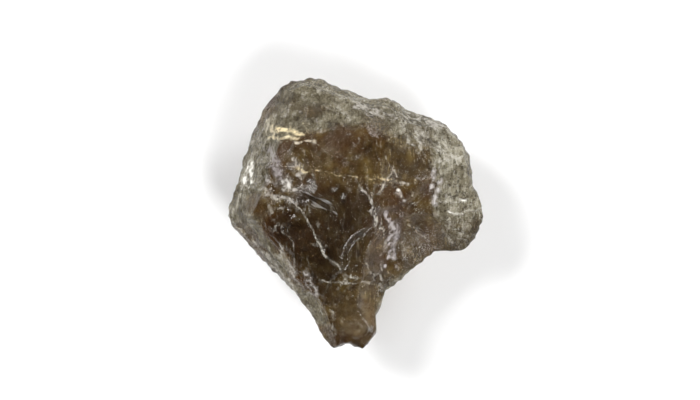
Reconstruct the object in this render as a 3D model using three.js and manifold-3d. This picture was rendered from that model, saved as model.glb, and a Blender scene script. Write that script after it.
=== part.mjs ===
// A rough piece of smoky quartz: one solid, broken all round, lying on its flattest broken face.
// Millimetres and degrees, +Z up. The origin is on the surface it lies on, under the middle of its plan.
import * as THREE from "three";
import { mergeVertices } from "three/addons/utils/BufferGeometryUtils.js";
import Module from "manifold-3d";

const wasm = await Module();
wasm.setup();

// The blank is the unbroken lump. Its plan is the rim, a polygon, and its section is a superellipse that
// reaches CROWN above the rim and BELLY below it. The rim leans: it rises this much for each mm gone.
const RIM_HEIGHT = 11;
const CROWN = 24;
const BELLY = 13;
const SECTION_POWER = 2;
const RIM_RISE = { east: 0.08, north: -0.05 };
const STEPS_PER_SIDE = 4;
const STEPS_UP = 32;

// What each break cuts away: a block of this size for a flat one, and for a shell-shaped one a ball with
// this many sides.
const WASTE_BLOCK = 160;
const BALL_SIDES = { around: 48, up: 32 };

// Corners of the rim in plan, anticlockwise from the east point: [x, y].
const RIM = [
  [25.7, -0.9],
  [25.1, 2.5],
  [23.7, 5.7],
  [22.8, 11.8],
  [21.5, 14.3],
  [18.5, 17.3],
  [15.6, 18.8],
  [10.5, 20.3],
  [8.3, 22.4],
  [5.9, 23.1],
  [3.0, 22.9],
  [-2.5, 25.1],
  [-8.6, 27.0],
  [-11.2, 27.3],
  [-15.0, 25.7],
  [-18.4, 21.6],
  [-22.1, 12.1],
  [-24.3, 4.5],
  [-25.7, -0.7],
  [-24.6, -3.1],
  [-20.1, -7.7],
  [-12.7, -15.7],
  [-9.4, -20.0],
  [-7.6, -22.4],
  [-5.8, -25.7],
  [-4.2, -27.0],
  [-1.1, -26.2],
  [1.6, -27.3],
  [3.6, -25.2],
  [4.5, -23.7],
  [4.2, -20.8],
  [5.3, -18.2],
  [6.3, -15.6],
  [11.9, -10.9],
  [15.9, -7.8],
  [21.5, -7.6],
  [24.2, -5.2],
];

// Flat breaks. Each passes through a point and falls away towards a bearing, anticlockwise from east, at a
// slope: [x, y, z, bearing, slope]. Slopes over 90 undercut the lump, and 180 faces straight down.
const BREAKS = {
  rest: [0, 0, 0, 0, 180],
  plateau: [-2, 3, 24.6, 265, 7],
  band: [-2, 8.4, 24, 93, 12],
  crown: [-6, 17, 22.1, 101, 34],
  west_shoulder: [-11, 6, 23.8, 176, 17],
  west_slope: [-6.5, -5.5, 23.5, 224, 27],
  west_flank: [-20, 9, 17.5, 163, 60],
  northwest_flank: [-17, 18, 18.2, 136, 56],
  southwest_flank: [-13.9, -10.5, 18.6, 220, 63],
  west_corner: [-22.8, -0.5, 17.5, 190, 66],
  tail_slope: [-0.2, -13.8, 22.4, 266, 33],
  southeast_slope: [4, -3, 23.7, 344, 27],
  lobe_slope: [14.7, 6, 20.6, 10, 24],
  lobe_front: [20, 0.8, 19.2, 334, 45],
  northeast_flank: [16.5, 14.5, 18, 52, 54],
  north_notch: [6, 18.5, 20.2, 76, 44],
  west_undercut: [-21.5, 2, 6, 172, 128],
  southwest_undercut: [-14.5, -11.5, 6, 226, 124],
  tail_undercut: [-1, -19, 4.5, 266, 152],
  east_undercut: [20, -2, 5.5, 345, 142],
  northeast_undercut: [15.5, 13, 5.5, 47, 130],
  north_undercut: [-5.5, 25.6, 7, 100, 120],
  northwest_undercut: [-15, 19, 5.5, 135, 126],
};

// Shell-shaped breaks. Each is the dent of a ball that pressed in from a bearing and an elevation:
// [x, y, z of the deepest point, bearing, elevation, radius].
const SHELLS = {
  lobe_shell: [10.9, 9.6, 20.4, 25, 68, 15],
  valley: [10, -5.5, 16.8, 316, 48, 21],
  crown_shell: [-8.5, 22, 18.4, 105, 48, 21],
  west_shell: [-19.5, 7.5, 5.5, 168, -22, 12],
  tail_shell: [2.8, -17, 16.3, 340, 40, 10],
  east_shell: [20.8, 7, 7, 15, -25, 13],
  under_valley: [8.5, -9.5, 5, 312, -32, 20],
  southwest_shell: [-9, -16.5, 8, 222, -12, 16],
};

const degrees = THREE.MathUtils.degToRad;

// A unit vector from a bearing in plan and an elevation above it.
function pointing(bearing, elevation) {
  const flat = Math.cos(degrees(elevation));
  return new THREE.Vector3(
    flat * Math.cos(degrees(bearing)),
    flat * Math.sin(degrees(bearing)),
    Math.sin(degrees(elevation)),
  );
}

// A point between two neighbouring rim corners. It goes round once as the side number goes from 0 to their
// count.
function rimPoint(side) {
  const [fromX, fromY] = RIM[Math.floor(side) % RIM.length];
  const [toX, toY] = RIM[(Math.floor(side) + 1) % RIM.length];
  const part = side % 1;
  return { x: fromX + (toX - fromX) * part, y: fromY + (toY - fromY) * part };
}

// A point of the blank, from a side number and a latitude of -90 to 90. The section is the superellipse
// (plan distance / rim)^p + (rise / reach)^p = 1: cos^(2/p) and sin^(2/p) of the latitude give its two terms.
function blankPoint(side, latitude) {
  const rim = rimPoint(side);
  const inward = Math.cos(degrees(latitude)) ** (2 / SECTION_POWER);
  const reach = latitude > 0 ? CROWN : -BELLY;
  const rise = reach * Math.abs(Math.sin(degrees(latitude))) ** (2 / SECTION_POWER);
  const x = rim.x * inward;
  const y = rim.y * inward;
  return [x, y, RIM_HEIGHT + rise + RIM_RISE.east * x + RIM_RISE.north * y];
}

// Rings of latitude between the two poles, joined by quads that are each two triangles.
function blankGeometry() {
  const around = RIM.length * STEPS_PER_SIDE;
  const points = [];
  const faces = [];
  for (let ring = 0; ring <= STEPS_UP; ring++) {
    for (let step = 0; step < around; step++) {
      points.push(...blankPoint(step / STEPS_PER_SIDE, -90 + (180 * ring) / STEPS_UP));
    }
  }
  for (let ring = 0; ring < STEPS_UP; ring++) {
    for (let step = 0; step < around; step++) {
      const here = ring * around + step;
      const next = ring * around + ((step + 1) % around);
      if (ring > 0) faces.push(here, next, here + around);
      if (ring < STEPS_UP - 1) faces.push(next, next + around, here + around);
    }
  }
  return new THREE.BufferGeometry()
    .setAttribute("position", new THREE.Float32BufferAttribute(points, 3))
    .setIndex(faces);
}

// The waste beyond a flat break: a block whose underside lies in the break's plane.
function wasteBeyond([x, y, z, bearing, slope]) {
  const outward = pointing(bearing, 90 - slope);
  return new THREE.BoxGeometry(WASTE_BLOCK, WASTE_BLOCK, WASTE_BLOCK)
    .translate(0, 0, WASTE_BLOCK / 2)
    .applyQuaternion(new THREE.Quaternion().setFromUnitVectors(new THREE.Vector3(0, 0, 1), outward))
    .translate(x, y, z);
}

// The waste in a shell-shaped break: the ball that leaves it as its dent.
function wasteInShell([x, y, z, bearing, elevation, radius]) {
  const centre = pointing(bearing, elevation).multiplyScalar(radius);
  return new THREE.SphereGeometry(radius, BALL_SIDES.around, BALL_SIDES.up)
    .translate(x + centre.x, y + centre.y, z + centre.z);
}

// A closed geometry, its shared corners merged, as a solid that can be cut.
function solidOf(geometry) {
  const bare = new THREE.BufferGeometry().setAttribute("position", geometry.getAttribute("position"));
  bare.setIndex(geometry.index);
  const merged = mergeVertices(bare, 1e-4);
  return new wasm.Manifold(
    new wasm.Mesh({
      numProp: 3,
      vertProperties: new Float32Array(merged.getAttribute("position").array),
      triVerts: new Uint32Array(merged.index.array),
    }),
  );
}

function geometryOf(solid) {
  const mesh = solid.getMesh();
  return new THREE.BufferGeometry()
    .setAttribute("position", new THREE.BufferAttribute(mesh.vertProperties, mesh.numProp))
    .setIndex(new THREE.BufferAttribute(mesh.triVerts, 1));
}

// The crystal: the blank, less the waste of every break.
function crystalMesh() {
  let solid = solidOf(blankGeometry());
  for (const place of Object.values(BREAKS)) solid = solid.subtract(solidOf(wasteBeyond(place)));
  for (const place of Object.values(SHELLS)) solid = solid.subtract(solidOf(wasteInShell(place)));
  const smoky = new THREE.MeshStandardMaterial({ color: 0x6b5b48, roughness: 0.25, metalness: 0 });
  const mesh = new THREE.Mesh(geometryOf(solid), smoky);
  mesh.name = "smoky_quartz";
  return mesh;
}

const part = new THREE.Group();
part.add(crystalMesh());
export default part;
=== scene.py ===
import math

import bpy
import numpy as np
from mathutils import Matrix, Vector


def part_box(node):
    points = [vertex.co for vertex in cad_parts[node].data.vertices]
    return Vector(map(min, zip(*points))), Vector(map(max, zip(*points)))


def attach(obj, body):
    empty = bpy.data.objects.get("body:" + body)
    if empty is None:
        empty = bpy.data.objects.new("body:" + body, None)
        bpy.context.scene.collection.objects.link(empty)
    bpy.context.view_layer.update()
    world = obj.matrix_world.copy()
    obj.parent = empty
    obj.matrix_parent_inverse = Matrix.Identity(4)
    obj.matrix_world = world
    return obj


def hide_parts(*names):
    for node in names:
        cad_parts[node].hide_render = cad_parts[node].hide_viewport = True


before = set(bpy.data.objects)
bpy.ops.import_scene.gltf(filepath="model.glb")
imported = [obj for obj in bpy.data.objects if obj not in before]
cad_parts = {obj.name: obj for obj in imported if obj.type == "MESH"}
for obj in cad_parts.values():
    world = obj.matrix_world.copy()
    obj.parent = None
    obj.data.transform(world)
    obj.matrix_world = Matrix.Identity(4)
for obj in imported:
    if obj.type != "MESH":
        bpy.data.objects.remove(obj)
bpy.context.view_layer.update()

# --- The stone -------------------------------------------------------------------------------------------
# One raw chunk of smoky quartz, a glassy see-through brown crystal. It was knocked off a larger one, so it
# is broken all round: flat breaks where it split, shell-shaped dents where it flaked, and chipped ridges.

MM = 0.001
lowest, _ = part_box("smoky_quartz")

# The unbroken lump, in mm: its plan is the rim, and its section reaches this far above and below the rim.
RIM_HEIGHT = 11
CROWN = 24
BELLY = 13
SECTION_POWER = 2
RIM_RISE_EAST, RIM_RISE_NORTH = 0.08, -0.05

# Corners of the rim in plan, anticlockwise from the east point: (x, y).
RIM = np.array([
    (25.7, -0.9), (25.1, 2.5), (23.7, 5.7), (22.8, 11.8), (21.5, 14.3), (18.5, 17.3), (15.6, 18.8),
    (10.5, 20.3), (8.3, 22.4), (5.9, 23.1), (3.0, 22.9), (-2.5, 25.1), (-8.6, 27.0), (-11.2, 27.3),
    (-15.0, 25.7), (-18.4, 21.6), (-22.1, 12.1), (-24.3, 4.5), (-25.7, -0.7), (-24.6, -3.1),
    (-20.1, -7.7), (-12.7, -15.7), (-9.4, -20.0), (-7.6, -22.4), (-5.8, -25.7), (-4.2, -27.0),
    (-1.1, -26.2), (1.6, -27.3), (3.6, -25.2), (4.5, -23.7), (4.2, -20.8), (5.3, -18.2), (6.3, -15.6),
    (11.9, -10.9), (15.9, -7.8), (21.5, -7.6), (24.2, -5.2),
])

# Flat breaks: a point in mm, the bearing the break falls away to, its slope, and how hazy and frosted it is.
BREAKS = {
    "rest": ((0, 0, 0), 0, 180, 0.3, 0.3),
    "plateau": ((-2, 3, 24.6), 265, 7, 0.12, 0),
    "band": ((-2, 8.4, 24), 93, 12, 0.4, 0.05),
    "crown": ((-6, 17, 22.1), 101, 34, 0.9, 0.2),
    "west_shoulder": ((-11, 6, 23.8), 176, 17, 0.35, 0.25),
    "west_slope": ((-6.5, -5.5, 23.5), 224, 27, 0.14, 0.12),
    "west_flank": ((-20, 9, 17.5), 163, 60, 0.95, 0.45),
    "northwest_flank": ((-17, 18, 18.2), 136, 56, 0.85, 0.2),
    "southwest_flank": ((-13.9, -10.5, 18.6), 220, 63, 0.75, 0.25),
    "west_corner": ((-22.8, -0.5, 17.5), 190, 66, 0.95, 0.4),
    "tail_slope": ((-0.2, -13.8, 22.4), 266, 33, 0.36, 0.05),
    "southeast_slope": ((4, -3, 23.7), 344, 27, 0.42, 0.2),
    "lobe_slope": ((14.7, 6, 20.6), 10, 24, 0.95, 0.4),
    "lobe_front": ((20, 0.8, 19.2), 334, 45, 0.8, 0.4),
    "northeast_flank": ((16.5, 14.5, 18), 52, 54, 1, 0.6),
    "north_notch": ((6, 18.5, 20.2), 76, 44, 0.68, 0.12),
    "west_undercut": ((-21.5, 2, 6), 172, 128, 0.4, 0.4),
    "southwest_undercut": ((-14.5, -11.5, 6), 226, 124, 0.3, 0.3),
    "tail_undercut": ((-1, -19, 4.5), 266, 152, 0.3, 0.3),
    "east_undercut": ((20, -2, 5.5), 345, 142, 0.4, 0.4),
    "northeast_undercut": ((15.5, 13, 5.5), 47, 130, 0.4, 0.4),
    "north_undercut": ((-5.5, 25.6, 7), 100, 120, 0.4, 0.4),
    "northwest_undercut": ((-15, 19, 5.5), 135, 126, 0.3, 0.3),
}

# Shell-shaped breaks, each the dent of a ball: its deepest point in mm, the bearing and the elevation the
# ball came from, its radius in mm, and how hazy and frosted the dent is.
SHELLS = {
    "lobe_shell": ((10.9, 9.6, 20.4), 25, 68, 15, 0.55, 0),
    "valley": ((10, -5.5, 16.8), 316, 48, 21, 0.52, 0),
    "crown_shell": ((-8.5, 22, 18.4), 105, 48, 21, 0.85, 0.2),
    "west_shell": ((-19.5, 7.5, 5.5), 168, -22, 12, 0.4, 0.3),
    "tail_shell": ((2.8, -17, 16.3), 340, 40, 10, 0.58, 0.05),
    "east_shell": ((20.8, 7, 7), 15, -25, 13, 0.4, 0.4),
    "under_valley": ((8.5, -9.5, 5), 312, -32, 20, 0.3, 0.3),
    "southwest_shell": ((-9, -16.5, 8), 222, -12, 16, 0.6, 0.4),
}

heart = np.array([0.0, 0.0, RIM_HEIGHT])  # every surface point is seen straight from here


def pointing(bearing, elevation):
    """A unit vector: (cos e cos b, cos e sin b, sin e)."""
    b, e = math.radians(bearing), math.radians(elevation)
    return np.array([math.cos(e) * math.cos(b), math.cos(e) * math.sin(b), math.sin(e)])


def squared_ball(long_cells, short_cells, squash):
    """Directions out of a block's six sides, and the block's square cells.

    A cell corner at (u, v) of a side points along (1, tan(45 deg * u), tan(45 deg * v)), with u and v from
    -1 to 1. All are then flattened in z by squash and made unit length, so a flat lump gets even cells.
    """
    sides = [
        ((0, 0, 1), (1, 0, 0), (0, 1, 0), long_cells, long_cells),
        ((0, 0, -1), (0, 1, 0), (1, 0, 0), long_cells, long_cells),
        ((1, 0, 0), (0, 1, 0), (0, 0, 1), long_cells, short_cells),
        ((-1, 0, 0), (0, 0, 1), (0, 1, 0), short_cells, long_cells),
        ((0, 1, 0), (0, 0, 1), (1, 0, 0), short_cells, long_cells),
        ((0, -1, 0), (1, 0, 0), (0, 0, 1), long_cells, short_cells),
    ]
    corners, cells, used = [], [], 0
    for out, along, up, columns, rows in sides:
        u = np.tan(np.linspace(-1, 1, columns + 1) * math.pi / 4)[:, None, None]
        v = np.tan(np.linspace(-1, 1, rows + 1) * math.pi / 4)[None, :, None]
        corners.append((np.array(out) + u * np.array(along) + v * np.array(up)).reshape(-1, 3))
        number = used + np.arange((columns + 1) * (rows + 1)).reshape(columns + 1, rows + 1)
        quads = np.stack([number[:-1, :-1], number[1:, :-1], number[1:, 1:], number[:-1, 1:]], -1)
        cells.append(quads.reshape(-1, 4))
        used += (columns + 1) * (rows + 1)
    points = np.concatenate(corners)
    points /= np.linalg.norm(points, axis=1)[:, None]
    _, first, same = np.unique(np.round(points, 6), axis=0, return_index=True, return_inverse=True)
    points = points[first] * np.array([1, 1, squash])
    return points / np.linalg.norm(points, axis=1)[:, None], same.reshape(-1)[np.concatenate(cells)]


def rim_distance(x, y):
    """How far the rim is along (x, y): the polar form of the line through the two corners either side."""
    order = np.argsort(np.arctan2(RIM[:, 1], RIM[:, 0]))
    corners = RIM[order]
    bearings = np.arctan2(corners[:, 1], corners[:, 0])
    after = np.searchsorted(bearings, np.arctan2(y, x)) % len(corners)
    a, b = corners[after - 1], corners[after]
    area = a[:, 0] * b[:, 1] - a[:, 1] * b[:, 0]
    return area / (a[:, 0] * y - a[:, 1] * x + x * b[:, 1] - y * b[:, 0])


def to_lump(toward):
    """Distance r to the unbroken lump, where (plan r / rim)^p + (rise r / reach)^p = 1."""
    plan = np.maximum(np.hypot(toward[:, 0], toward[:, 1]), 1e-9)
    rim = rim_distance(toward[:, 0] / plan, toward[:, 1] / plan)
    rise = toward[:, 2] - RIM_RISE_EAST * toward[:, 0] - RIM_RISE_NORTH * toward[:, 1]
    reach = np.where(rise > 0, CROWN, BELLY)
    total = (plan / rim) ** SECTION_POWER + (np.abs(rise) / reach) ** SECTION_POWER
    return total ** (-1 / SECTION_POWER)


FAR = 1e3  # mm, past every surface
EDGE_ON = 1e-4  # a plane that faces a direction by less than this is never met


def to_flat(toward, point, bearing, slope):
    """Distance to the plane through a point: (normal . point) / (normal . direction)."""
    normal = pointing(bearing, 90 - slope)
    facing = toward @ normal
    away = normal @ (np.array(point) - heart)
    return np.where(facing > EDGE_ON, away / np.maximum(facing, EDGE_ON), FAR)


def to_ball(toward, point, axis, radius):
    """Distance to the near side of a ball whose surface passes through a point: b - sqrt(b^2 - c^2 + R^2)."""
    centre = np.array(point) + axis * radius - heart
    along = toward @ centre
    inside = along**2 - centre @ centre + radius**2
    return np.where((inside > 0) & (along > 0), along - np.sqrt(np.maximum(inside, 0)), FAR)


def breaks_and_shells(toward):
    """The distances to the lump, each flat break and each shell, and each one's haze and frost."""
    rows = [to_lump(toward)]
    finish = [(0.9, 0.4)]
    for point, bearing, slope, hazy, frosted in BREAKS.values():
        rows.append(to_flat(toward, point, bearing, slope))
        finish.append((hazy, frosted))
    for point, bearing, elevation, radius, hazy, frosted in SHELLS.values():
        rows.append(to_ball(toward, point, pointing(bearing, elevation), radius))
        finish.append((hazy, frosted))
    return np.array(rows), np.array(finish)


SCRAMBLE = (73856093, 19349663, 83492791, 2654435761)  # large primes, for a corner's x, y and z and the seed


def soft_noise(points, cell, seed):
    """Random values from 0 to 1 at the corners of cubes of a size in mm, blended with 3t^2 - 2t^3 between."""
    scaled = points / cell
    corner = np.floor(scaled).astype(np.int64)
    t = scaled - corner
    blend = t * t * (3 - 2 * t)
    total = 0
    for i in (0, 1):
        for j in (0, 1):
            for k in (0, 1):
                x, y, z = (corner + (i, j, k)).T
                mixed = (x * SCRAMBLE[0]) ^ (y * SCRAMBLE[1]) ^ (z * SCRAMBLE[2]) ^ (seed * SCRAMBLE[3])
                mixed = (mixed ^ (mixed >> 13)) * 1274126177 & 0x7FFFFFFF
                value = (mixed ^ (mixed >> 16)) % 65536 / 65535
                share = np.where([i, j, k], blend, 1 - blend).prod(1)
                total = total + value * share
    return total


def new_piece(name, points, faces):
    """A mesh object, unturned and at the origin, from points in metres."""
    mesh = bpy.data.meshes.new(name)
    mesh.from_pydata(points, [], faces)
    piece = bpy.data.objects.new(name, mesh)
    bpy.context.scene.collection.objects.link(piece)
    return piece


def in_metres(points):
    """Points in mm above the face the stone lies on, as points in metres."""
    return points * MM + np.array([0, 0, lowest.z])


BLEND = 0.5  # the haze and frost of neighbouring breaks run into each other over about this many mm
chance = np.random.default_rng(7)
toward, quads = squared_ball(long_cells=156, short_cells=78, squash=0.5)
distances, finish_of = breaks_and_shells(toward)
unchipped, beyond = np.partition(distances, 1, axis=0)[:2]
nearness = np.exp(-(distances - unchipped) / BLEND)
haze, frost = (nearness[:, :, None] * finish_of[:, None, :]).sum(0).T / nearness.sum(0)


def random_directions(count):
    """Normal random vectors, flattened a little in z so that fewer point up and down, made unit length."""
    spread = chance.normal(size=(count, 3)) * np.array([1, 1, 0.7])
    return spread / np.linalg.norm(spread, axis=1)[:, None]


STEEPEN = np.array([0.6, 0.6, 1.6])  # the blows came more from above and below than the struck spots face


def strike(reach, second, tries, near_ridge, depths, radii, tilt, least_haze):
    """Knocks a ball-shaped dent into the stone at each place tried that is near enough to a ridge, in mm.

    With each ball, reach becomes min(reach, ball), and second, the surface just behind it, becomes
    min(second, max(reach, ball)).
    """
    rows, _ = breaks_and_shells(tries)
    near, next_near = np.partition(rows, 1, axis=0)[:2]
    hazy_enough = finish_of[rows.argmin(0), 0] >= least_haze
    for number in np.flatnonzero((next_near - near < near_ridge) & hazy_enough):
        spot = heart + tries[number] * (near[number] - chance.uniform(*depths))
        axis = tries[number] * STEEPEN + chance.normal(size=3) * tilt
        ball = to_ball(toward, spot, axis / np.linalg.norm(axis), chance.uniform(*radii))
        second = np.minimum(second, np.maximum(reach, ball))
        reach = np.minimum(reach, ball)
    return reach, second


# Shallow flakes came off the rough breaks, dents off the roughest, and small, deeper chips along the ridges:
# how many were tried, how near a ridge they had to be, their depths and radii in mm, how far their axes lean,
# and the least haze of a break that they struck. All fade out at the rim.
STRIKES = [
    (200, 100, (0.02, 0.2), (14, 45), 0.08, 0.13),
    (900, 100, (0.1, 0.35), (3, 10), 0.2, 0.5),
    (1500, 0.35, (0.05, 0.3), (1, 3.5), 0.35, 0.13),
]
DEEPEST_CHIP = 0.9
FADE_HEIGHT = 5  # chips have their full depth this many mm above or below the rim
reach, second = unchipped, beyond
for count, *how in STRIKES:
    reach, second = strike(reach, second, random_directions(count), *how)
rise = toward[:, 2] - RIM_RISE_EAST * toward[:, 0] - RIM_RISE_NORTH * toward[:, 1]
from_rim_line = rise * unchipped
from_rim = np.clip(np.abs(from_rim_line) / FADE_HEIGHT, 0.15, 1)
chip_depth = np.minimum(unchipped - reach, DEEPEST_CHIP) * from_rim
reach = unchipped - chip_depth

# The break itself is never dead flat: hackles and ripples, rougher where it is hazy, and gentler on top.
RELIEF = {3.2: 0.3, 1.4: 0.2, 0.7: 0.11}  # size of the ripple: its depth, both in mm
upper_side = np.clip(toward[:, 2] * 5 + 0.3, 0, 1)
skin = heart + toward * reach[:, None]
for size, depth in RELIEF.items():
    reach = reach - depth * (1.2 + haze - upper_side) * soft_noise(skin, size, seed=3)

# The rim is nicked. Size of the nicks: how far the rim stands out between them, both in mm. It does so over a
# band above and below the rim.
BURRS = {1.3: 0.55, 0.65: 0.3}
BURR_BAND = 3
for size, out in BURRS.items():
    reach = reach + out * np.exp(-((from_rim_line / BURR_BAND) ** 2)) * (1 - soft_noise(skin, size, seed=5))

# Where the rim stands out a little further: bearing, how far it spreads in degrees, and by how many mm.
SWELLS = [(238, 20, 0.35), (120, 17, 0.4), (181, 7, 0.3)]
SWELL_BAND = 5
bearings = np.degrees(np.arctan2(toward[:, 1], toward[:, 0]))
for bearing, spread, out in SWELLS:
    away = (bearings - bearing + 180) % 360 - 180
    reach = reach + out * np.exp(-((away / spread) ** 2) - (from_rim_line / SWELL_BAND) ** 2)

# How near each point is to the rim, to a ridge and to a chip's edge: exp(-(distance / fade)^2), all in mm.
RIM_FADE, RIDGE_FADE, EDGE_FADE = 0.7, 0.2, 0.1
rim_line = np.exp(-((from_rim_line / RIM_FADE) ** 2))
ridge = np.exp(-(((beyond - unchipped) / RIDGE_FADE) ** 2))
from_edge = second - unchipped + chip_depth / from_rim
chip_edge = np.exp(-((from_edge / EDGE_FADE) ** 2)) * (chip_depth > 0.01)

# Frosted scars on the upper side, some of them painted glints and painted reflections: from (x, y) to (x, y)
# in mm, width in mm, strength, and tint, which goes from -1 for a painted golden glint through 0 for plain
# frost to 1 for a painted lavender sheen. Above a strength of about 2, a plain scar is a painted white glint.
SCARS_AND_GLINTS = [
    # The white split on the west flank, these four rows, is a painted reflection.
    ((-20.6, 10.2), (-21.6, 6.8), 0.34, 3.4, 0),  # the white split on the west flank
    ((-20.2, 9.6), (-20.4, 6.2), 0.32, 3.4, 0),
    ((-20.9, 9.4), (-21.9, 5.8), 0.34, 3.4, 0),
    ((-21.4, 8.2), (-22.6, 4.6), 0.28, 2, 0),
    # The golden wedge is a painted glint, an inner reflection.
    ((-17.2, 17.6), (-17.0, 14.8), 0.2, 1.6, -0.3),  # the golden wedge
    ((-16.4, 17.0), (-15.9, 15.2), 0.28, 1.6, -0.6),
    ((-15.6, 16.5), (-10.6, 15.7), 0.24, 2.6, -1),
    ((-15.4, 16.0), (-10.0, 15.3), 0.22, 2.6, -1),
    ((-17.0, 15.0), (-10.6, 14.5), 0.22, 1.8, -0.8),
    ((-11.4, 13.8), (-7.6, 13.7), 0.22, 1.8, -0.3),
    ((-16.9, 12.4), (-15.4, 9.6), 1.0, 1.5, 1),
    ((-16.0, 9.6), (-14.8, 7.0), 0.9, 1.2, 1),
    ((-14.4, 6.6), (-12.4, 5.0), 1.1, 1.6, 0.4),
    ((-17.6, 6.6), (-15.4, 4.8), 0.8, 1.4, 0.6),
    ((-12.6, 10.6), (-10.8, 6.6), 0.6, 1.0, 0.3),
    ((-22.9, 5.5), (-17.9, 4.5), 0.23, 1.1, 0),
    ((-17.9, 4.5), (-14.4, 2.2), 0.27, 1.2, 0),
    ((-17.0, 3.9), (-11.2, 2.1), 0.31, 1.4, 0.3),
    ((-11.2, 1.6), (-5.4, -8.5), 0.2, 1.5, 0),  # the long diagonal ridge
    ((-5.4, -8.5), (-1.9, -13.0), 0.25, 1.1, 0),
    ((-6.4, -13.6), (3.6, -13.8), 0.2, 1.1, 0),
    ((-1.9, -12.4), (5.1, -14.9), 0.27, 1.2, 0),
    ((0.1, 7.4), (1.4, 3.8), 0.2, 0.9, 0),
    ((1.4, 4.6), (3.2, 1.4), 0.27, 1.1, 0.3),
    ((3.0, 2.4), (4.6, -4.4), 0.23, 1.2, 0.3),
    ((4.8, -1.4), (6.4, -6.4), 0.27, 1.1, 0),
    ((2.2, -9.8), (5.6, -15.2), 0.3, 1.2, 0.2),
    ((5.2, -10.6), (5.8, -13.4), 0.3, 1.3, 0.2),
    # The lavender split beside the valley is a painted sheen, a reflection.
    ((6.4, -0.4), (7.8, -3.8), 0.75, 1.8, 0.95),  # the lavender split beside the valley
    ((8.5, -3.0), (7.7, -8.0), 0.8, 1.8, 1),
    ((7.4, -4.4), (6.3, -10.8), 0.7, 1.8, 0.95),
    ((7.6, -8.6), (8.3, -10.6), 0.6, 1.6, 0.9),
    ((6.2, -5.6), (4.4, -13.0), 0.62, 0.8, 0.5),
    ((10.8, -2.4), (14.8, -5.6), 0.23, 1.1, 0.3),
    # The thin golden line along the band is a painted highlight.
    ((-10.9, 8.4), (-2.4, 7.6), 0.18, 0.95, -0.8),  # the thin golden line along the band
    ((-2.4, 7.4), (7.1, 6.6), 0.18, 0.9, -0.8),
    ((6.1, 11.0), (8.1, 7.4), 0.25, 1.2, 0),
    ((7.6, 9.0), (4.4, 3.6), 0.22, 0.9, 0),
    ((10.2, 14.6), (14.6, 8.8), 0.39, 1.0, 0),
    ((12.2, 15.8), (14.4, 10.4), 0.35, 1.2, 0),
    ((14.4, 15.4), (17.4, 9.4), 0.39, 1.0, 0),
    ((10.6, 19.4), (18.4, 17.0), 0.7, 1.2, 0.3),
    ((15.8, 8.5), (14.9, 3.2), 0.55, 1.8, 0.8),
    ((17.0, 6.6), (15.9, 1.6), 0.5, 1.8, 0.8),
    # The rows of strength 2.6 and 2.8 here are painted white glints.
    ((20.6, 3.0), (22.2, 2.5), 0.3, 2.8, 0),
    ((16.6, 2.4), (21.2, 2.4), 0.23, 0.8, 0),
    ((18.4, 0.4), (21.4, 0.0), 0.25, 2.6, 0),
    ((21.4, 0.2), (24.6, 0.8), 0.23, 0.9, 0),
    ((18.8, -2.4), (22.4, -5.4), 0.39, 1.0, 0),
    ((17.6, -3.2), (20.0, -6.2), 0.23, 0.9, 0),
    ((8.4, 4.4), (9.6, 2.2), 0.39, 1.9, 0.4),
    ((7.6, 6.0), (10.6, 5.6), 0.27, 1.0, 0),
    ((0.0, 21.4), (3.6, 20.0), 0.7, 1.3, 0.3),
    ((3.6, 20.0), (8.0, 18.6), 0.7, 0.9, 0.4),
    ((11.0, 17.6), (20.6, 9.6), 1.72, 0.5, 0),
    ((-13.2, -9.8), (-11.2, -13.4), 0.7, 0.9, 0.3),
    ((-9.6, -12.2), (-7.4, -15.4), 0.78, 1.2, 0.6),
    ((-22.4, -3.6), (-13.2, -13.6), 0.7, 0.7, 0),
    ((-16.2, 0.2), (-13.4, -9.4), 0.39, 0.6, 0),
    ((-14.2, -2.0), (-13.9, -4.4), 0.2, 0.9, 0),
    ((-12.0, -5.8), (-11.6, -10.4), 0.23, 0.9, 0),
    ((-4.6, -19.6), (-3.8, -25.0), 0.39, 0.9, 0),
    ((1.6, -16.4), (1.0, -24.2), 0.31, 0.4, 0),
]

# Where the stone is cloudier or clearer than the rest of a break: (x, y) and radius in mm, haze and frost.
CLOUDS = [
    ((20.8, 9.0), 5.6, 0.95, 0.3),
    ((20.4, 1.6), 5.2, 0.95, 0.45),
    ((20.8, -4.4), 4.4, 0.7, 0.4),
    ((12.5, 15.4), 3.4, 0.7, 0.3),
    ((-0.6, 21.6), 4.0, 0.82, 0.2),
    ((-20.2, 0.8), 4.6, 0.72, 0.3),
    ((-19.2, 1.6), 2.2, 0.5, 0.1),
    ((-12.8, 8.2), 3.4, 0.45, 0.35),
    ((-15.5, -10.5), 3.0, 0.75, 0.4),
    ((-1.0, -23.5), 3.4, 0.54, 0.05),
    ((13.0, -7.2), 4.0, 0.58, 0.05),
]


def along_scar(x, y, start, end, width):
    """exp(-(distance to the line from start to end / width)^2)."""
    start, run = np.array(start), np.array(end) - np.array(start)
    share = np.clip(((x - start[0]) * run[0] + (y - start[1]) * run[1]) / (run @ run), 0, 1)
    off = np.hypot(x - start[0] - share * run[0], y - start[1] - share * run[1])
    return np.exp(-((off / width) ** 2))


points = heart + toward * reach[:, None]

# Round the sides, and not on top or underneath, the frosted skin has gaps of about this size in mm, where
# clearer brown stone shows.
GAP_SIZE = 6.5
side_share = 1 - np.clip((np.abs(toward[:, 2]) - 0.3) / 0.2, 0, 1)
gap = np.clip((soft_noise(points, GAP_SIZE, seed=25) - 0.5) * 5 + 0.5, 0, 1)
gap = gap * side_share * (1 - 0.35 * upper_side)
haze = haze * (1 - 0.5 * gap)
frost = frost * (1 - 0.8 * gap)

for (x, y), radius, cloudy, rimed in CLOUDS:
    inside = np.exp(-((np.hypot(points[:, 0] - x, points[:, 1] - y) / radius) ** 4)) * upper_side
    haze = haze + (cloudy - haze) * inside
    frost = frost + (rimed - frost) * inside

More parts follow.
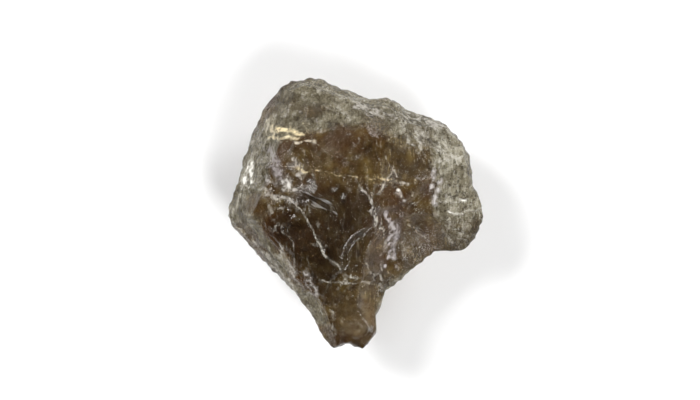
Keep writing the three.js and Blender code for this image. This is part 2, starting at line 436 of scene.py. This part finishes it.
# The scars wander to the sides, this far and over this length in mm, and the wide ones are patchy.
WANDER, WANDER_LENGTH = 1.1, 1.6
wander_x = points[:, 0] + WANDER * (soft_noise(points, WANDER_LENGTH, seed=11) - 0.5)
wander_y = points[:, 1] + WANDER * (soft_noise(points, WANDER_LENGTH, seed=12) - 0.5)
patchy = np.clip(3 * soft_noise(points, 0.75, seed=13) - 0.75, 0, 1.3)
scarred = np.zeros(len(points))
tint = np.zeros(len(points))
# Each point keeps the tint of its strongest scar, from a painted golden glint at -1 to a painted lavender
# sheen at 1.
for start, end, width, strength, reflection_hue in SCARS_AND_GLINTS:
    worn = 1 + (patchy - 1) * np.clip(width * 3 - 0.4, 0, 1) * (reflection_hue < 1)
    mark = strength * along_scar(wander_x, wander_y, start, end, width) * worn * upper_side
    tint = np.where(mark > scarred, reflection_hue, tint)
    scarred = np.maximum(scarred, mark)

painted_on = {
    "ridge": ridge,
    "haze": haze,
    "frost": frost,
    "chip_edge": chip_edge,
    "scarred": scarred,
    "tint": tint,
    "rim_line": rim_line,
}
stone = new_piece("stone", in_metres(points), quads)
for name, values in painted_on.items():
    stone.data.attributes.new(name, "FLOAT", "POINT").data.foreach_set("value", values.astype(np.float32))
stone.data.shade_smooth()
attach(stone, "root")
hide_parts("smoky_quartz")


class Value:
    """A shader socket that can be used in sums: each operator adds one Math node."""

    def __init__(self, tree, socket):
        self.tree = tree
        self.socket = socket

    def math(self, operation, *others, swap=False):
        node = self.tree.nodes.new("ShaderNodeMath")
        node.operation = operation
        terms = [*others, self] if swap else [self, *others]
        for slot, term in zip(node.inputs, terms):
            if isinstance(term, Value):
                self.tree.links.new(term.socket, slot)
            else:
                slot.default_value = term
        return Value(self.tree, node.outputs[0])

    def __add__(self, other):
        return self.math("ADD", other)

    def __sub__(self, other):
        return self.math("SUBTRACT", other)

    def __rsub__(self, other):
        return self.math("SUBTRACT", other, swap=True)

    def __mul__(self, other):
        return self.math("MULTIPLY", other)

    def __truediv__(self, other):
        return self.math("DIVIDE", other)

    def __rtruediv__(self, other):
        return self.math("DIVIDE", other, swap=True)

    __radd__ = __add__
    __rmul__ = __mul__

    def clamped(self):
        return self.math("MAXIMUM", 0.0).math("MINIMUM", 1.0)

    def above(self, threshold, softness):
        """Goes from 0 to 1 as the value passes the threshold."""
        return ((self - threshold) * (1 / softness) + 0.5).clamped()


class Nodes:
    """The emptied node tree of a new material or world, and the one method that adds any node to it."""

    def __init__(self, owner):
        owner.use_nodes = True
        self.owner = owner
        self.tree = owner.node_tree
        self.tree.nodes.clear()

    def node(self, kind, settings=None, values=None, output=0):
        node = self.tree.nodes.new(kind)
        for name, value in (settings or {}).items():
            if name == "stops":
                ramp = node.color_ramp.elements
                while len(ramp) < len(value):
                    ramp.new(1.0)
                for stop, (place, colour) in zip(ramp, value):
                    stop.position = place
                    stop.color = colour
            else:
                setattr(node, name, value)
        for name, value in (values or {}).items():
            if isinstance(value, Value):
                self.tree.links.new(value.socket, node.inputs[name])
            else:
                node.inputs[name].default_value = value
        return None if output is None else Value(self.tree, node.outputs[output])


QUARTZ_IOR = 1.544


def smoky_quartz_material():
    """Quartz with an even smoky absorption, hazy inside, and frosted where it is bruised or finely broken,
    with painted glints and reflections on some scars and painted shade in creases, pits and along the rim.
    """
    quartz = Nodes(bpy.data.materials.new("smoky quartz"))
    place = quartz.node("ShaderNodeTexCoord", output="Object")

    def painted(name):
        return quartz.node("ShaderNodeAttribute", {"attribute_name": name}, output="Fac")

    def noise(scale, detail, roughness=0.6, vector=place):
        return quartz.node(
            "ShaderNodeTexNoise",
            values={"Vector": vector, "Scale": scale, "Detail": detail, "Roughness": roughness},
        )

    def stretched(scales, turn):
        return quartz.node("ShaderNodeMapping", values={"Vector": place, "Rotation": turn, "Scale": scales})

    def facets(vector):
        """Little flat breaks: a random colour for each, and its height, (colour - 0.5) . (place - middle)."""
        colour = quartz.node("ShaderNodeTexVoronoi", values={"Vector": vector, "Scale": 1}, output="Color")
        middle = Value(quartz.tree, colour.socket.node.outputs["Position"])
        less, dot = {"operation": "SUBTRACT"}, {"operation": "DOT_PRODUCT"}
        lean = quartz.node("ShaderNodeVectorMath", less, {0: colour, 1: (0.5, 0.5, 0.5)})
        away = quartz.node("ShaderNodeVectorMath", less, {0: vector, 1: middle})
        return colour, quartz.node("ShaderNodeVectorMath", dot, {0: lean, 1: away}, output="Value")

    def mixed(share, first, second):
        """The first colour where the share is 0, and the second where it is 1."""
        values = {"Factor": share, 6: first, 7: second}
        return quartz.node("ShaderNodeMix", {"data_type": "RGBA"}, values, output=2)

    ridge, hazy, frosty = painted("ridge"), painted("haze"), painted("frost")
    chip_edge, rim_line = painted("chip_edge"), painted("rim_line")
    scarred, tint = painted("scarred"), painted("tint")
    mottle = noise(190, 3)
    blotches = noise(520, 6, 0.65)
    grain = noise(3400, 3)
    streaks = noise(1, 5, vector=stretched((3000, 420, 1200), (0, 0, 0.06)))
    flecks, fleck_height = facets(stretched((2300, 2000, 2300), (0.5, 0.2, 0.9)))
    shards, shard_height = facets(stretched((1250, 750, 1000), (0.2, 0.1, 0.3)))
    shard = quartz.node("ShaderNodeSeparateColor", values={"Color": shards}, output="Red")
    fleck = quartz.node("ShaderNodeSeparateColor", values={"Color": flecks}, output="Red")
    pit = quartz.node("ShaderNodeSeparateColor", values={"Color": flecks}, output="Green")

    # White: frost in ragged patches on ridges, chips and scars, fine fibres, and painted glints on the
    # brightest scars.
    ragged = blotches * 0.32 + streaks * 0.22 + grain * 0.32 + shard * 0.14
    amount = frosty * 0.28 + ridge * mottle.above(0.5, 0.3) * 0.16 + chip_edge * 0.08 + scarred * 0.25
    white = (ragged + amount - 0.5).above(0.25, 0.26) * (0.15 + fleck * 0.75)
    fibre = (streaks * 0.6 + grain * 0.4).above(0.6, 0.08) * mottle.above(0.5, 0.2) * 0.32
    # Painted glint: the strongest scars turn near white.
    painted_glint = scarred.above(2.0, 0.8)
    white = (white + fibre + painted_glint).clamped()

    # Painted shade: dark creases and pits, mostly where it is hazy, and a dark line along the rim.
    crease_shade = (0.018 - (blotches - 0.5).math("ABSOLUTE")).above(0, 0.018)
    pit_shade = pit.above(0.75, 0.1) * (1 - blotches).above(0.5, 0.2)
    painted_shade = (pit_shade + crease_shade * 0.7) * (0.08 + hazy * 0.55 + frosty * 0.4)
    painted_shade = (painted_shade + rim_line * 0.6 * ragged.above(0.47, 0.2)).clamped() * (1 - white)

    # Cover: how much of the clear stone the haze, the white and the dark hide between them.
    haze = (hazy * (0.55 + mottle * 0.5 + streaks * 0.4) + hazy.above(0.65, 0.4) * 0.3).clamped()
    cover = 1 - (1 - haze) * (1 - white) * (1 - painted_shade)

    brown = quartz.node(
        "ShaderNodeValToRGB",
        {"stops": [
            (0.38, (0.026, 0.011, 0.003, 1)),
            (0.5, (0.1, 0.056, 0.014, 1)),
            (0.62, (0.22, 0.145, 0.035, 1)),
        ]},
        {"Fac": blotches * 0.5 + mottle * 0.3 + streaks * 0.2},
    )
    olive = quartz.node(
        "ShaderNodeValToRGB",
        {"stops": [
            (0.38, (0.06, 0.048, 0.028, 1)),
            (0.5, (0.15, 0.13, 0.085, 1)),
            (0.62, (0.28, 0.258, 0.19, 1)),
        ]},
        {"Fac": ragged * 0.75 + mottle * 0.25 + (hazy - 0.8) * 0.3},
    )
    rusty = mixed(noise(120, 2).above(0.55, 0.15) * 0.6, brown, (0.1, 0.042, 0.014, 1))
    body = mixed(hazy.above(0.62, 0.25), rusty, olive)
    shaded = mixed(painted_shade, body, (0.02, 0.013, 0.008, 1))
    # Colour of the scars: a painted golden glint, plain frost and a painted lavender sheen along the tint,
    # and near white where the strongest scars paint a glint.
    scar_frost_and_reflection_colour = quartz.node(
        "ShaderNodeValToRGB",
        {"stops": [
            (0.0, (0.78, 0.65, 0.4, 1)),
            (0.5, (0.5, 0.475, 0.415, 1)),
            (1.0, (0.36, 0.33, 0.325, 1)),
        ]},
        {"Fac": tint * 0.5 + 0.5},
    )
    frost_glint_and_reflection_colour = mixed(painted_glint * (1 - tint * tint), scar_frost_and_reflection_colour, (0.88, 0.86, 0.8, 1))
    colour = mixed(white / cover, shaded, frost_glint_and_reflection_colour)

    ripples = (blotches + streaks * 0.3 + grain * 0.2 + shard_height * 0.25) * (0.5 + hazy)
    crumbs = (grain * 0.4 + blotches + fleck_height * 0.7 + shard_height * 1.6) * (0.2 + hazy + frosty)
    bump = quartz.node("ShaderNodeBump", values={"Strength": 0.6, "Distance": 0.0004, "Height": ripples})
    rough_bump = quartz.node("ShaderNodeBump", values={"Strength": 1.0, "Distance": 0.0002, "Height": crumbs})
    clear = quartz.node(
        "ShaderNodeBsdfPrincipled",
        values={
            "Base Color": (0.97, 0.95, 0.92, 1),
            "Roughness": 0.05 + blotches * 0.15,
            "IOR": QUARTZ_IOR,
            "Transmission Weight": 1.0,
            "Normal": bump,
        },
    )
    dull = quartz.node(
        "ShaderNodeBsdfPrincipled",
        values={
            "Base Color": colour,
            "Roughness": 0.12 + white * 0.5,
            "IOR": QUARTZ_IOR,
            "Specular IOR Level": 0.1,
            "Normal": rough_bump,
        },
    )
    surface = quartz.node("ShaderNodeMixShader", values={0: cover, 1: clear, 2: dull})
    smoke = quartz.node("ShaderNodeVolumeAbsorption", values={"Color": (0.6, 0.45, 0.14, 1), "Density": 165})
    quartz.node("ShaderNodeOutputMaterial", values={"Surface": surface, "Volume": smoke}, output=None)
    return quartz.owner


stone.data.materials.append(smoky_quartz_material())

# --- Splits sealed in the stone ----------------------------------------------------------------------------
# Thin cracks that never reached the surface. Air got into them, so they show as silvery, streaky leaves; the
# silver and black streaks are painted in as the reflection of the air film.

# Each split: its middle in mm, the bearing its length runs along, the bearing and angle of its dip, and its
# length, width and thickness in mm.
SPLITS = [
    ((-6.6, 1.9, 23.5), 328, 240, 12, 8.2, 2.0, 0.12),
    ((-7.6, 1.6, 22.9), 326, 235, 22, 6.0, 1.3, 0.1),
    ((-1.2, 10.4, 20.6), 4, 80, 20, 5.0, 1.0, 0.1),
    ((12.4, -3.2, 15.6), 322, 300, 30, 4.6, 0.8, 0.08),
    ((-12.4, -4.6, 18.4), 275, 200, 60, 5.4, 1.2, 0.1),
    ((0.6, -6.0, 18.0), 262, 10, 66, 6.0, 1.4, 0.1),
]
RINGS, SIDES = 23, 24  # of each split
SPLIT_POINTS = RINGS * SIDES + 2


def leaf(middle, along_bearing, dip_bearing, dip, length, width, thickness):
    """A pointed leaf, closed at both tips.

    Along its length u from -1 to 1 it is width * (1 - u^2) wide and thickness * (1 - u^2) thick, with an
    ellipse for a section. It lies in a plane that dips, and is rippled by 0.04 length * sin(4u) across and by
    0.01 length * cos(3u) upwards.
    """
    upright = pointing(dip_bearing, 90 - dip)
    along = pointing(along_bearing, 0)
    along -= upright * (along @ upright)
    along /= np.linalg.norm(along)
    across = np.cross(upright, along)

    def spine(u):
        """The leaf's rippled middle line, at u."""
        return length * (along * u / 2 + across * 0.04 * np.sin(4 * u) + upright * 0.01 * np.cos(3 * u))

    u = np.linspace(-1, 1, RINGS + 2)[1:-1, None, None]
    turn = np.linspace(0, 2 * math.pi, SIDES, endpoint=False)[None, :, None]
    full = (1 - u**2) / 2
    rings = spine(u) + full * (across * np.cos(turn) * width + upright * np.sin(turn) * thickness)
    tips = np.array([spine(-1), spine(1)])
    number = np.arange(RINGS * SIDES).reshape(RINGS, SIDES)
    after = np.roll(number, -1, axis=1)
    walls = np.stack([number[:-1], after[:-1], after[1:], number[1:]], -1).reshape(-1, 4)
    sides = np.concatenate([walls[:, [0, 1, 2]], walls[:, [0, 2, 3]]])
    start_tip, end_tip = RINGS * SIDES, RINGS * SIDES + 1
    first = np.stack([np.full(SIDES, start_tip), after[0], number[0]], -1)
    last = np.stack([np.full(SIDES, end_tip), number[-1], after[-1]], -1)
    points = np.concatenate([rings.reshape(-1, 3), tips]) + np.array(middle)
    return points, np.concatenate([sides, first, last])


leaves = [leaf(*split) for split in SPLITS]
split_points = np.concatenate([points for points, _ in leaves])
split_faces = np.concatenate([faces + number * SPLIT_POINTS for number, (_, faces) in enumerate(leaves)])
splits = new_piece("splits", in_metres(split_points), split_faces)
splits.data.shade_smooth()
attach(splits, "root")


def painted_reflection_split_material():
    """Air in a crack: pale and black streaks that run along the crack, with a half-gloss, painted in as the
    air film's reflection.
    """
    split_look = Nodes(bpy.data.materials.new("split with painted reflection"))
    place = split_look.node("ShaderNodeTexCoord", output="Object")
    along = split_look.node(
        "ShaderNodeMapping",
        {"vector_type": "TEXTURE"},
        {"Vector": place, "Rotation": (0, 0, math.radians(-32)), "Scale": (0.0055, 0.0005, 0.0011)},
    )
    streaks = split_look.node("ShaderNodeTexNoise", values={"Vector": along, "Scale": 1, "Detail": 4})
    shades = split_look.node(
        "ShaderNodeValToRGB",
        {"stops": [
            (0.46, (0.004, 0.004, 0.005, 1)),
            (0.53, (0.13, 0.14, 0.16, 1)),
            (0.61, (0.66, 0.72, 0.8, 1)),
        ]},
        {"Fac": streaks},
    )
    gloss = split_look.node("ShaderNodeBsdfPrincipled", values={"Base Color": shades, "Roughness": 0.35})
    split_look.node("ShaderNodeOutputMaterial", values={"Surface": gloss}, output=None)
    return split_look.owner


splits.data.materials.append(painted_reflection_split_material())

# --- Flecks in the stone ---------------------------------------------------------------------------------
# Old cracks that healed left clouds of tiny bubbles and flakes behind, sealed in just under the breaks. Where
# a chip went deeper than they lie, about one fleck in twelve breaks the surface or stands just clear of it.

# Each cloud of flecks: from (x, y) to (x, y), how far it spreads to the sides, its depths, and their number.
FLECK_CLOUDS = [
    ((0.1, 8.0), (3.2, 1.4), 0.8, (0.7, 2.5), 70),
    ((3.2, 1.4), (5.0, -4.4), 0.9, (0.7, 2.5), 80),
    ((5.0, -4.4), (1.8, -11.0), 1.1, (0.7, 3), 70),
    ((-17.0, 11.0), (-12.0, 4.6), 1.8, (0.7, 2.5), 110),
    ((-8.0, 12.5), (8.0, 11.5), 2.2, (0.7, 5), 90),
    ((-14.0, -2.0), (-9.0, -12.0), 2.6, (0.7, 4), 130),
    ((-9.0, -0.5), (-1.0, -9.0), 3.4, (0.7, 8), 110),
    ((6.5, 3.5), (13.0, 1.5), 2.4, (0.7, 5), 60),
    ((-2.0, -16.0), (2.0, -24.0), 2.4, (0.7, 4), 90),
    ((8.0, -3.0), (6.0, -12.0), 1.6, (0.7, 4), 90),
]
AIM_HEIGHT = 22.0  # a fleck lies on the line from the heart to this height above its place in plan, in mm


def scattered(start, end, spread, depths, count):
    """Places along a line from start to end, moved sideways at random, at random depths under the breaks."""
    plan = np.array(start) + chance.uniform(size=(count, 1)) * (np.array(end) - np.array(start))
    plan = plan + chance.normal(size=(count, 2)) * spread / 2
    aimed = np.column_stack([plan, np.full(count, AIM_HEIGHT)]) - heart
    aimed /= np.linalg.norm(aimed, axis=1)[:, None]
    sunk = breaks_and_shells(aimed)[0].min(0) - chance.uniform(*depths, count)
    return heart + aimed * sunk[:, None]


def flakes(places, widths, thinness):
    """An eight-sided flake at each place: corners at +-a, +-b and +-c * thinness along three random axes.

    Where the three axes are left-handed, +a and -a change places, so that the sides still face outwards.
    """
    axes = np.linalg.qr(chance.normal(size=(len(places), 3, 3)))[0]
    axes = axes * np.array([1, 1, thinness])[None, :, None] * chance.uniform(*widths, (len(places), 3, 1)) / 2
    corners = places[:, None] + np.concatenate([axes, -axes], axis=1)
    sides = np.array([(0, 1, 2), (1, 3, 2), (3, 4, 2), (4, 0, 2), (1, 0, 5), (3, 1, 5), (4, 3, 5), (0, 4, 5)])
    turned = np.linalg.det(axes) < 0
    corners[turned] = corners[turned][:, [3, 1, 2, 0, 4, 5]]
    return corners.reshape(-1, 3), (sides + 6 * np.arange(len(places))[:, None, None]).reshape(-1, 3)


fleck_places = np.concatenate([scattered(*cloud) for cloud in FLECK_CLOUDS])
fleck_points, fleck_faces = flakes(fleck_places, widths=(0.08, 0.32), thinness=0.3)
flecks = new_piece("flecks", in_metres(fleck_points), fleck_faces)
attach(flecks, "root")


def fleck_material():
    """Pale flakes, some brighter than others."""
    pale = Nodes(bpy.data.materials.new("pale flecks"))
    place = pale.node("ShaderNodeTexCoord", output="Object")
    shades = pale.node("ShaderNodeTexNoise", values={"Vector": place, "Scale": 700})
    colour = pale.node(
        "ShaderNodeValToRGB",
        {"stops": [(0.4, (0.2, 0.15, 0.09, 1)), (0.6, (0.66, 0.58, 0.46, 1))]},
        {"Fac": shades},
    )
    gloss = pale.node("ShaderNodeBsdfPrincipled", values={"Base Color": colour, "Roughness": 0.4})
    pale.node("ShaderNodeOutputMaterial", values={"Surface": gloss}, output=None)
    return pale.owner


flecks.data.materials.append(fleck_material())

# --- The studio ------------------------------------------------------------------------------------------
# A plain pale table. The light comes from a tent round it, bright low down and dim overhead, and from three
# soft boxes that face the stone.

FLOOR_HALF = 0.7
FLOOR_TOP = -0.0001  # just under the stone, so the two surfaces don't share a plane
floor_corners = np.array([(-1, -1, 0), (1, -1, 0), (1, 1, 0), (-1, 1, 0)]) * FLOOR_HALF + (0, 0, FLOOR_TOP)
floor = new_piece("table", floor_corners, [(0, 1, 2, 3)])
table_top = Nodes(bpy.data.materials.new("pale table"))
pale_grey = (0.86, 0.86, 0.86, 1)
paint = table_top.node("ShaderNodeBsdfPrincipled", values={"Base Color": pale_grey, "Roughness": 0.8})
table_top.node("ShaderNodeOutputMaterial", values={"Surface": paint}, output=None)
floor.data.materials.append(table_top.owner)

tent = Nodes(bpy.data.worlds.new("tent"))
bpy.context.scene.world = tent.owner
direction = tent.node("ShaderNodeTexCoord", output="Generated")
height = tent.node("ShaderNodeSeparateXYZ", values={"Vector": direction}, output="Z")
glow = tent.node(
    "ShaderNodeValToRGB",
    {"stops": [(0.0, (0.5, 0.5, 0.5, 1)), (0.35, (0.06, 0.06, 0.06, 1))]},
    {"Fac": height},
)
walls = tent.node("ShaderNodeBackground", values={"Color": glow, "Strength": 1.0})
tent.node("ShaderNodeOutputWorld", values={"Surface": walls}, output=None)

SOFT_BOX_SIZE = 0.3


def soft_box(name, place, power):
    """A square area light that faces the stone."""
    light = bpy.data.lights.new(name, "AREA")
    light.shape = "SQUARE"
    light.size = SOFT_BOX_SIZE
    light.energy = power
    lamp = bpy.data.objects.new(name, light)
    bpy.context.scene.collection.objects.link(lamp)
    lamp.location = place
    lamp.rotation_mode = "QUATERNION"
    lamp.rotation_quaternion = (-lamp.location).to_track_quat("-Z", "Y")


soft_box("key", (-0.45, 0.3, 0.5), 5.2)
soft_box("side", (0.5, 0.5, 0.26), 4.4)
soft_box("front", (0.295, -0.421, 0.532), 4.6)

# --- The camera ------------------------------------------------------------------------------------------
# It looks straight down, a little north-west of the stone's middle. What it takes in is this wide at the
# height of the stone's rim.

VIEW_WIDTH = 0.140
LENS = 135
SENSOR = 36
EAST_BY, NORTH_BY = -0.0009, 0.0025
camera_data = bpy.data.cameras.new("camera")
camera_data.lens = LENS
camera_data.sensor_width = SENSOR
camera = bpy.data.objects.new("camera", camera_data)
bpy.context.scene.collection.objects.link(camera)
camera.location = (EAST_BY, NORTH_BY, RIM_HEIGHT * MM + VIEW_WIDTH * LENS / SENSOR)
bpy.context.scene.camera = camera
bpy.context.scene.view_settings.view_transform = "Standard"
